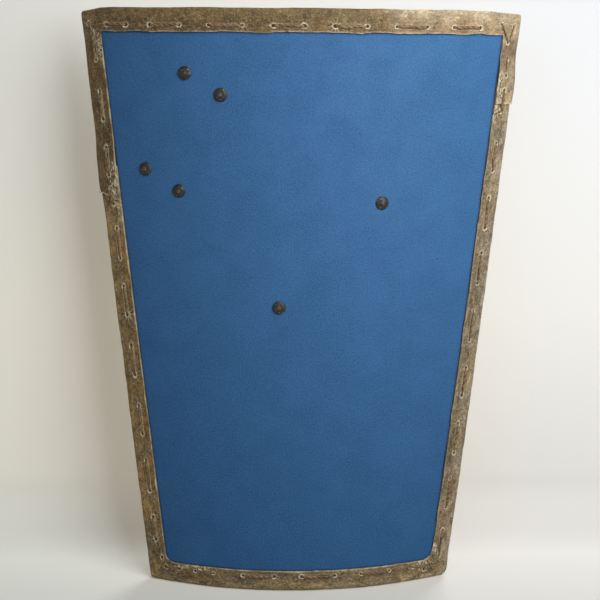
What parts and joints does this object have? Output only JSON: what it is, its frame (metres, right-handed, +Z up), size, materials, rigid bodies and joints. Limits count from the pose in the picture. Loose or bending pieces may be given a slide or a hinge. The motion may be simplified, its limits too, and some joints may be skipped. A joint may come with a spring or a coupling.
{
  "type": "hand-held curved shield",
  "caption": "Tall curved trapezoid shield with a painted canvas face, laced rawhide edging and riveted leather arm straps behind.",
  "frame": {"origin": "centre of the bottom of the bounding box, with the shield standing on its lower edge", "axes": "+Z up, the painted front faces -Y, +X to the right seen from the front"},
  "size_m": [0.6256, 0.1184, 0.85],
  "materials": {
    "painted_canvas": "matt blue paint soaked into woven canvas",
    "birch_plywood": "bare bent plywood",
    "rawhide": "dried rawhide, mottled and slightly shiny",
    "leather_thong": "oiled reddish brown thong",
    "strap_leather": "vegetable tanned strap leather",
    "dark_iron": "hammered iron with a brown oxide"
  },
  "bodies": {
    "shield": {"canvas_facing": "painted_canvas", "plywood_board": "birch_plywood", "rim_top": "rawhide", "rim_left": "rawhide", "rim_right": "rawhide", "rim_bottom": "rawhide", "lace_top": "leather_thong", "lace_left": "leather_thong", "lace_right": "leather_thong", "lace_bottom": "leather_thong", "hand_grip_strap": "strap_leather", "wrist_strap": "strap_leather", "forearm_buckle_strap": "strap_leather", "forearm_billet_strap": "strap_leather", "rivet_rose_1": "dark_iron", "rivet_1": "dark_iron", "rivet_washer_1": "dark_iron", "rivet_rose_2": "dark_iron", "rivet_2": "dark_iron", "rivet_washer_2": "dark_iron", "rivet_rose_3": "dark_iron", "rivet_3": "dark_iron", "rivet_washer_3": "dark_iron", "rivet_rose_4": "dark_iron", "rivet_4": "dark_iron", "rivet_washer_4": "dark_iron", "rivet_rose_5": "dark_iron", "rivet_5": "dark_iron", "rivet_washer_5": "dark_iron", "rivet_rose_6": "dark_iron", "rivet_6": "dark_iron", "rivet_washer_6": "dark_iron"},
    "buckle": {"buckle_frame": "dark_iron"},
    "tongue": {"buckle_tongue": "dark_iron"},
    "keeper": {"strap_keeper": "strap_leather"}
  },
  "joints": [
    {"name": "buckle_hinge", "type": "hinge", "parent": "shield", "child": "buckle", "pos_m": [0.02562, 0.04529, 0.50622], "axis": [0.7153, 0.0485, -0.6972], "range_deg": [0, 10]},
    {"name": "tongue_hinge", "type": "hinge", "parent": "buckle", "child": "tongue", "pos_m": [0.02562, 0.04529, 0.50622], "axis": [0.7153, 0.0485, -0.6972], "range_deg": [0, 25]},
    {"name": "keeper_slide", "type": "slide", "parent": "shield", "child": "keeper", "axis": [-0.6956, -0.0472, -0.7169], "range_m": [-0.004, 0.004]}
  ]
}
